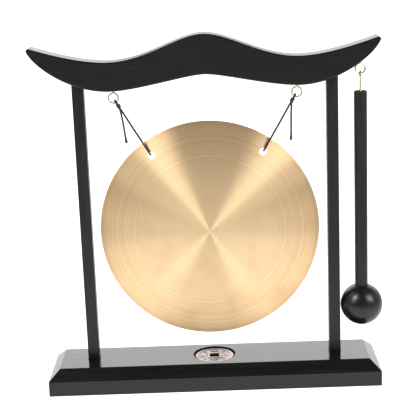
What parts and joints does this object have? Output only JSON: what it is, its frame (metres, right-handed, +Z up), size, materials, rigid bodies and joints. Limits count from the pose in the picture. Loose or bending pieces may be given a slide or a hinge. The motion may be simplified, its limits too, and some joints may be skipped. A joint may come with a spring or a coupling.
{
  "type": "tam tam gong",
  "caption": "Desktop tam tam gong: a domed brass disc hung by cords in a black lacquered wood frame, with a ball-headed mallet on a hook and an inlaid coin.",
  "frame": {"origin": "centre of the base board's underside", "axes": "+X to the end that the mallet hangs at, +Y to the back, +Z up; the gong's bulging face looks towards -Y"},
  "size_m": [0.2343, 0.053, 0.2417],
  "materials": {
    "lacquered_wood": "black lacquer, satin to gloss",
    "gong_brass": "turned, fine concentric rings",
    "brass_wire": "bright drawn wire",
    "coin_metal": "struck copper-nickel, polished high spots",
    "screw_steel": "bright zinc plate",
    "cord": "waxed round cord"
  },
  "bodies": {
    "stand": {"base_board": "lacquered_wood", "inlaid_coin": "coin_metal", "left_post": "lacquered_wood", "right_post": "lacquered_wood", "left_base_screw": "screw_steel", "right_base_screw": "screw_steel", "crossbeam": "lacquered_wood", "left_eye_screw": "brass_wire", "right_eye_screw": "brass_wire", "mallet_eye_screw": "brass_wire"},
    "gong_cords": {"left_cord": "cord", "right_cord": "cord"},
    "gong": {"gong_disc": "gong_brass"},
    "mallet": {"mallet_hook": "brass_wire", "mallet_stick": "lacquered_wood", "mallet_head": "lacquered_wood"}
  },
  "joints": [
    {"name": "cords_swing", "type": "hinge", "parent": "stand", "child": "gong_cords", "pos_m": [0, 0, 0.19754], "axis": [1, 0, 0], "range_deg": [-45, 45]},
    {"name": "gong_tilt", "type": "hinge", "parent": "gong_cords", "child": "gong", "pos_m": [0, 0, 0.16042], "axis": [1, 0, 0], "range_deg": [-20, 20], "deforming": ["left_cord", "right_cord"]},
    {"name": "mallet_swing", "type": "hinge", "parent": "stand", "child": "mallet", "pos_m": [0.1034, 0, 0.21116], "axis": [1, 0, 0], "range_deg": [-75, 75]}
  ]
}
